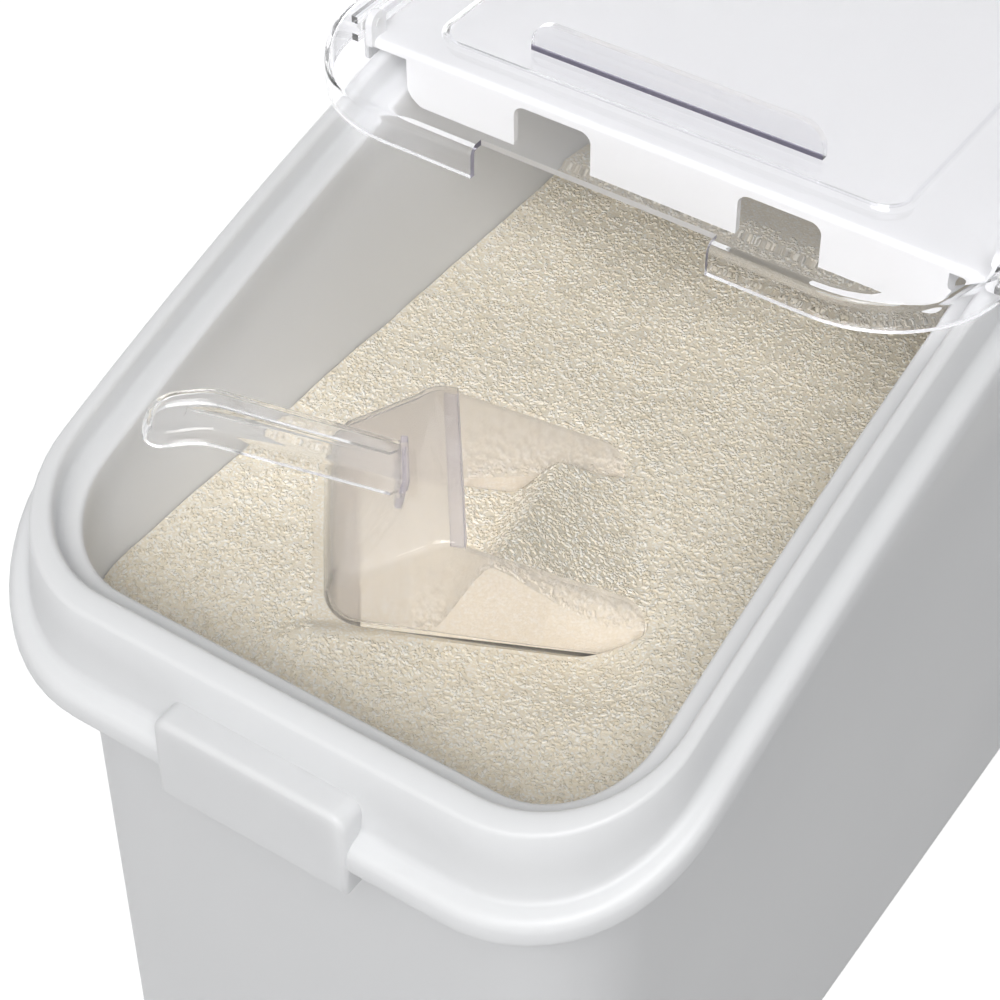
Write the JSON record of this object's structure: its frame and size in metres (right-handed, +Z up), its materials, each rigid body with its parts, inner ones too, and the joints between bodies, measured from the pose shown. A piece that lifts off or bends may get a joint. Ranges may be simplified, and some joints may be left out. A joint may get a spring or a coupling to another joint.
{
  "type": "ingredient bin",
  "caption": "Tall kitchen bin for rice or flour with a sloped front mouth, fixed rear lid, clear lid that slides back and tips shut, and a hooded scoop.",
  "frame": {"origin": "centre of the footprint box, on the surface the bin stands on", "axes": "+Z up, +Y from the mouth to the rear, +X to the right when facing the mouth"},
  "size_m": [0.298, 0.5968, 0.462],
  "materials": {
    "tub": "satin moulded polyethylene",
    "rear_lid": "semi-gloss moulded plastic",
    "clear_lid": "clear moulded plastic, gloss",
    "shoe": "satin",
    "scoop": "clear moulded plastic, gloss",
    "rice": "loose dry grains"
  },
  "bodies": {
    "tub": {"bin_body": "tub", "rice_bed": "rice"},
    "rear_cover": {"rear_lid": "rear_lid"},
    "guides": {"guide_shoe_left": "shoe", "guide_shoe_right": "shoe"},
    "clear_cover": {"front_lid": "clear_lid"},
    "scoop": {"scoop": "scoop", "rice_in_scoop": "rice"}
  },
  "joints": [
    {"name": "rear_lid_lift", "type": "slide", "parent": "tub", "child": "rear_cover", "axis": [0, 0, 1], "range_m": [0, 0.08]},
    {"name": "lid_tilt", "type": "hinge", "parent": "rear_cover", "child": "guides", "pos_m": [0, -0.02915, 0.434], "axis": [1, 0, 0], "range_deg": [0, 18.5]},
    {"name": "lid_slide", "type": "slide", "parent": "guides", "child": "clear_cover", "axis": [0, -1, 0], "range_m": [0, 0.22]},
    {"name": "scoop_lift", "type": "slide", "parent": "tub", "child": "scoop", "axis": [-0.2067, -0.1558, 0.9659], "range_m": [0, 0.35]}
  ]
}
